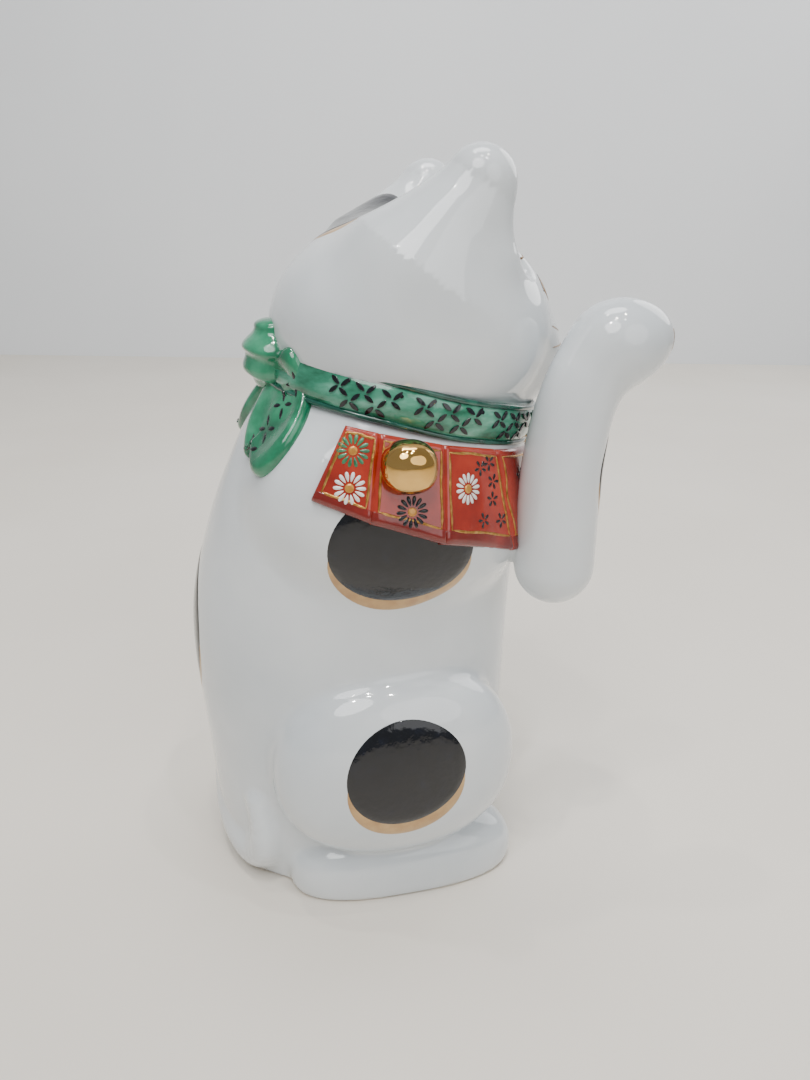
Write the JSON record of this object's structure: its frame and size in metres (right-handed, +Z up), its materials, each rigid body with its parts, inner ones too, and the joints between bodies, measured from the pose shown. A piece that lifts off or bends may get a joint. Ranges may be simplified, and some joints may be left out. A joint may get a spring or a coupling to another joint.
{
  "type": "beckoning cat figurine",
  "caption": "Seated glazed porcelain cat with a raised beckoning forearm, green collar and ribbon, pleated bib with bells, and a flat base to stand on.",
  "frame": {"origin": "middle of the flat base, at floor level", "axes": "+Z up; the cat faces -Y and its right side, with the raised arm, is towards -X"},
  "size_m": [0.133, 0.1605, 0.2649],
  "materials": {
    "white_glaze": "glossy white porcelain glaze with a faint cool tint",
    "base_glaze": "unglazed-edged porcelain base, matt to satin",
    "green_enamel": "glossy translucent green overglaze enamel",
    "red_enamel": "glossy iron-red overglaze enamel",
    "gold_lustre": "burnished gold lustre"
  },
  "bodies": {
    "root": {"base_disc": "base_glaze", "bib_panel_front": "red_enamel", "bib_panel_left_front": "red_enamel", "bib_panel_left_rear": "red_enamel", "bib_panel_left_side": "red_enamel", "bib_panel_right_front": "red_enamel", "bib_panel_right_rear": "red_enamel", "bib_panel_right_side": "red_enamel", "bow_knot": "green_enamel", "collar_band": "green_enamel", "front_bell": "gold_lustre", "head_shell": "white_glaze", "left_bell": "gold_lustre", "left_ear": "white_glaze", "left_foreleg": "white_glaze", "left_forepaw": "white_glaze", "left_haunch": "white_glaze", "left_hind_foot": "white_glaze", "left_ribbon_tail": "green_enamel", "left_upper_arm": "white_glaze", "muzzle": "white_glaze", "nose": "white_glaze", "raised_forearm": "white_glaze", "raised_paw": "white_glaze", "right_bell": "gold_lustre", "right_ear": "white_glaze", "right_haunch": "white_glaze", "right_hind_foot": "white_glaze", "right_ribbon_tail": "green_enamel", "right_upper_arm": "white_glaze", "tail": "white_glaze", "torso_shell": "white_glaze"}
  },
  "joints": []
}
